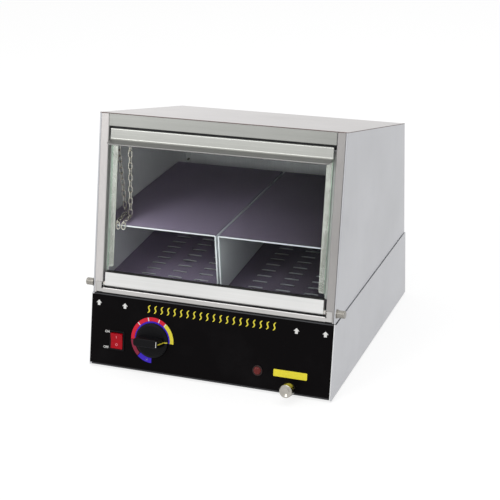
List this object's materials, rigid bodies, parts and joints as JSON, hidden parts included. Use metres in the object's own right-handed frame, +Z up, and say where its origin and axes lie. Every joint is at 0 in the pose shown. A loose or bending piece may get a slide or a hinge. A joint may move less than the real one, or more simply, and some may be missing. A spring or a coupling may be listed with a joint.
{
  "type": "hot dog steamer",
  "caption": "Counter-top steel hot dog steamer with a leaning glass drop-down door on a chain, bun shelves, water tank, dial, rocker switch and drain knob.",
  "frame": {"origin": "on the surface it stands on, under the middle of its overall box", "axes": "+Z up, -Y towards the user at the door side, +X to the user's right"},
  "size_m": [0.429, 0.4471, 0.3909],
  "materials": {
    "satin_steel": "satin stainless sheet with a fine grain",
    "bright_steel": "bright turned and plated steel",
    "chain_steel": "nickel-plated welded link wire",
    "black_panel": "smooth semi-gloss black printed overlay",
    "black_plastic": "moulded black phenolic",
    "red_plastic": "translucent red moulding",
    "clear_glass": "clear tempered glass with ground edges",
    "black_rubber": "black silicone and rubber",
    "white_nylon": "natural nylon",
    "brass": "machined brass",
    "copper": "drawn copper tube",
    "heater_sheath": "heat-darkened alloy sheath"
  },
  "bodies": {
    "cabinet": {"base_back": "satin_steel", "base_cover": "satin_steel", "base_front": "satin_steel", "base_left_side": "satin_steel", "base_right_side": "satin_steel", "base_screws": "bright_steel", "bulb_clip": "bright_steel", "chain_pin": "bright_steel", "cord_gland": "black_plastic", "cover_screws": "bright_steel", "drain_body": "brass", "drain_pipe": "copper", "fascia": "black_panel", "feet": "black_rubber", "floor_tray": "satin_steel", "header": "satin_steel", "heater_element": "heater_sheath", "heater_nuts": "bright_steel", "heater_saddles": "bright_steel", "hood_back": "satin_steel", "hood_left_side": "satin_steel", "hood_right_side": "satin_steel", "hood_roof": "satin_steel", "hood_screws": "bright_steel", "lamp_bezel": "black_plastic", "lamp_body": "black_plastic", "lamp_lens": "red_plastic", "left_insert": "satin_steel", "left_jamb": "satin_steel", "left_post": "satin_steel", "lower_rail": "satin_steel", "pivot_screws": "bright_steel", "right_insert": "satin_steel", "right_jamb": "satin_steel", "right_post": "satin_steel", "seam_gasket": "black_rubber", "switch_frame": "black_plastic", "terminal_block": "black_plastic", "thermostat_body": "black_plastic", "thermostat_bulb": "copper", "water_sensor": "heater_sheath", "water_tank": "satin_steel"},
    "door": {"door_bottom_rail": "satin_steel", "door_top_rail": "satin_steel", "door_glass": "clear_glass", "glass_seals": "black_rubber", "glass_clip": "satin_steel", "edge_strips": "bright_steel", "hinge_bushes": "white_nylon", "chain_staple": "bright_steel"},
    "rocker": {"rocker": "red_plastic"},
    "dial": {"dial_knob": "black_plastic", "dial_shaft": "bright_steel"},
    "drain": {"drain_knob": "bright_steel"},
    "chain_a": {"chain_hood_upper": "chain_steel"},
    "chain_b": {"chain_hood_lower": "chain_steel"},
    "chain_c": {"chain_hood_tail": "chain_steel"},
    "chain_d": {"chain_door_upper": "chain_steel"},
    "chain_e": {"chain_door_lower": "chain_steel"},
    "chain_f": {"chain_door_tail": "chain_steel"}
  },
  "joints": [
    {"name": "door_hinge", "type": "hinge", "parent": "cabinet", "child": "door", "pos_m": [0, -0.15768, 0.13021], "axis": [1, 0, 0], "range_deg": [0, 94.9]},
    {"name": "switch_rocker", "type": "hinge", "parent": "cabinet", "child": "rocker", "pos_m": [-0.1555, -0.18394, 0.04572], "axis": [-1, 0, 0], "range_deg": [0, 14]},
    {"name": "dial_turn", "type": "hinge", "parent": "cabinet", "child": "dial", "pos_m": [-0.095, -0.1827, 0.05419], "axis": [0, 0.9659, -0.2588], "range_deg": [0, 270]},
    {"name": "drain_turn", "type": "hinge", "parent": "cabinet", "child": "drain", "pos_m": [0.14, -0.19319, 0.01507], "axis": [0, 0.9659, -0.2588], "range_deg": [0, 270]},
    {"name": "chain_hood_eye", "type": "hinge", "parent": "cabinet", "child": "chain_a", "pos_m": [-0.1745, -0.09231, 0.34905], "axis": [-0.999, -0.0412, -0.0171], "range_deg": [0, 59.91]},
    {"name": "chain_hood_knee", "type": "hinge", "parent": "chain_a", "child": "chain_b", "pos_m": [-0.1725, -0.08935, 0.225], "axis": [0.9915, 0.1288, 0.0191], "range_deg": [0, 91.74]},
    {"name": "chain_hood_end", "type": "hinge", "parent": "chain_b", "child": "chain_c", "pos_m": [-0.1675, -0.12783, 0.225], "axis": [-0.9878, -0.1284, -0.0877], "range_deg": [0, 78.92]},
    {"name": "chain_door_eye", "type": "hinge", "parent": "door", "child": "chain_d", "pos_m": [-0.152, -0.09568, 0.34111], "axis": [0.9983, -0.0179, -0.0551], "range_deg": [0, 30.05]},
    {"name": "chain_door_knee", "type": "hinge", "parent": "chain_d", "child": "chain_e", "pos_m": [-0.1585, -0.1008, 0.225], "axis": [0.9955, 0.0737, -0.059], "range_deg": [0, 88.22]},
    {"name": "chain_door_end", "type": "hinge", "parent": "chain_e", "child": "chain_f", "pos_m": [-0.1565, -0.12783, 0.225], "axis": [-0.9869, -0.073, 0.1437], "range_deg": [0, 80.26]}
  ],
  "couplings": [
    {"joint": "chain_hood_eye", "follows": "door_hinge", "ratio": 0.62604},
    {"joint": "chain_hood_knee", "follows": "door_hinge", "ratio": 0.96139},
    {"joint": "chain_hood_end", "follows": "door_hinge", "ratio": 0.82631},
    {"joint": "chain_door_eye", "follows": "door_hinge", "ratio": 0.31135},
    {"joint": "chain_door_knee", "follows": "door_hinge", "ratio": 0.92437},
    {"joint": "chain_door_end", "follows": "door_hinge", "ratio": 0.84051}
  ]
}
